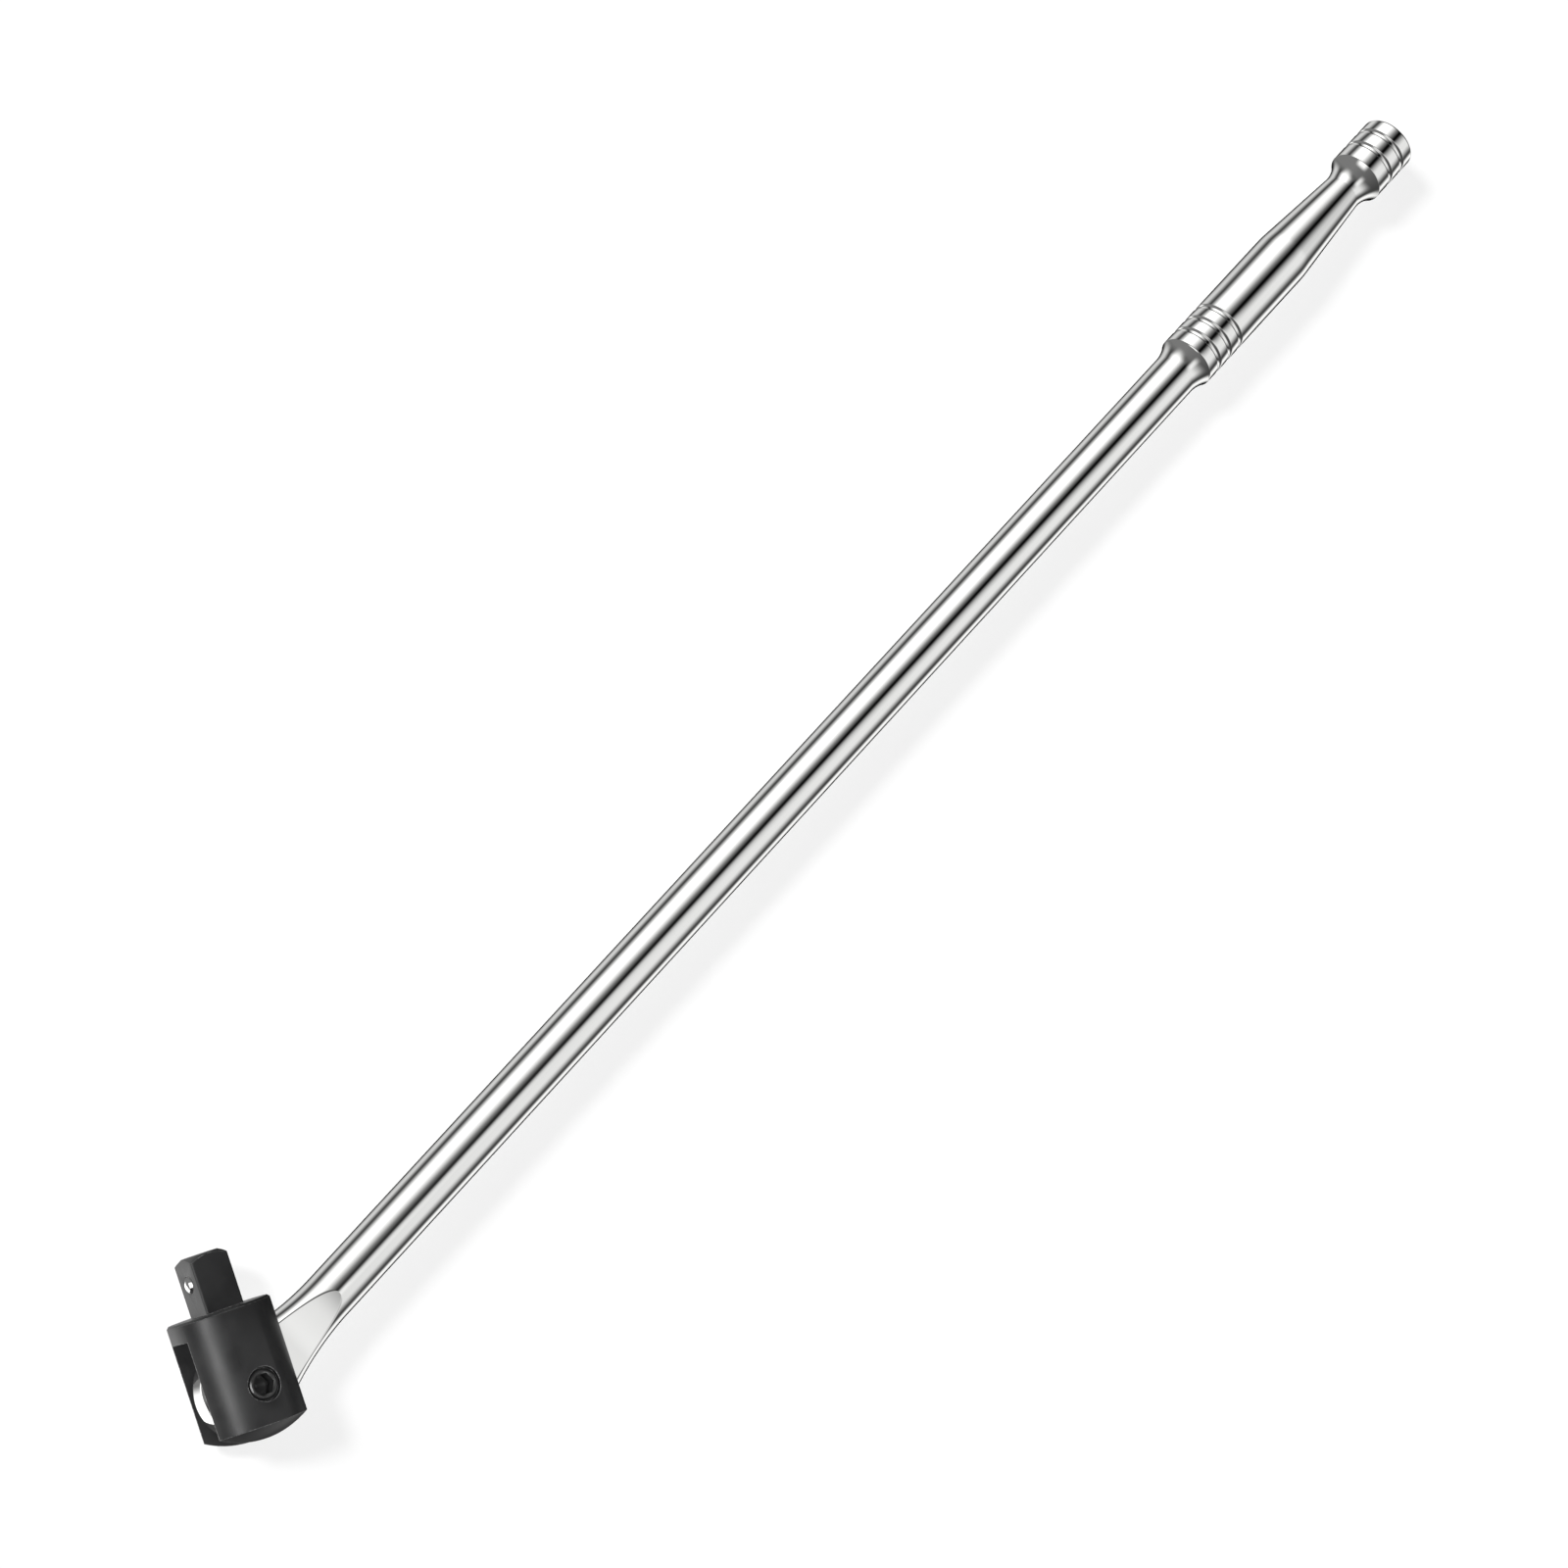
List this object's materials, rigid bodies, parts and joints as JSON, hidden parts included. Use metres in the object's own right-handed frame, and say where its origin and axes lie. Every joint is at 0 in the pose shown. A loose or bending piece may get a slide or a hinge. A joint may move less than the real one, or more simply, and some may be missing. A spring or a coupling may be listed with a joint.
{
  "type": "breaker bar",
  "caption": "Long one-piece steel bar with a turned grip and a pivoting domed head that carries a half-inch square drive with a detent ball.",
  "frame": {"origin": "centre of the drum's shoulder, at the root of the square drive", "axes": "+X parallel to the bar, towards the grip's end; +Z parallel to the hinge screw, towards its hex socket; at rest the square drive points 64 degrees from +X, measured about +Z"},
  "size_m": [0.6371, 0.0574, 0.032],
  "materials": {
    "chrome_bar": "polished chrome plate",
    "black_head": "satin black phosphate",
    "black_screw": "black oxide",
    "bright_ball": "polished",
    "spring_steel": "drawn wire",
    "plunger_steel": "ground"
  },
  "bodies": {
    "handle": {"handle_bar": "chrome_bar"},
    "head": {"drive_head": "black_head", "hinge_screw": "black_screw", "detent_spring": "spring_steel", "friction_spring": "spring_steel"},
    "ball": {"detent_ball": "bright_ball"},
    "plunger": {"friction_plunger": "plunger_steel"}
  },
  "joints": [
    {"name": "head_swing", "type": "hinge", "parent": "handle", "child": "head", "pos_m": [-0.0107, -0.02193, 0], "axis": [0, 0, 1], "range_deg": [0, 232]},
    {"name": "ball_press", "type": "slide", "parent": "head", "child": "ball", "axis": [0.8988, -0.4384, 0], "range_m": [0, 0.0013], "stiffness_N_per_m": 3000, "springref_m": -0.002, "deforming": ["detent_spring"]},
    {"name": "plunger_travel", "type": "slide", "parent": "head", "child": "plunger", "axis": [0.4384, 0.8988, 0], "range_m": [0, 0.0008], "stiffness_N_per_m": 4000, "springref_m": -0.002, "deforming": ["friction_spring"]}
  ]
}
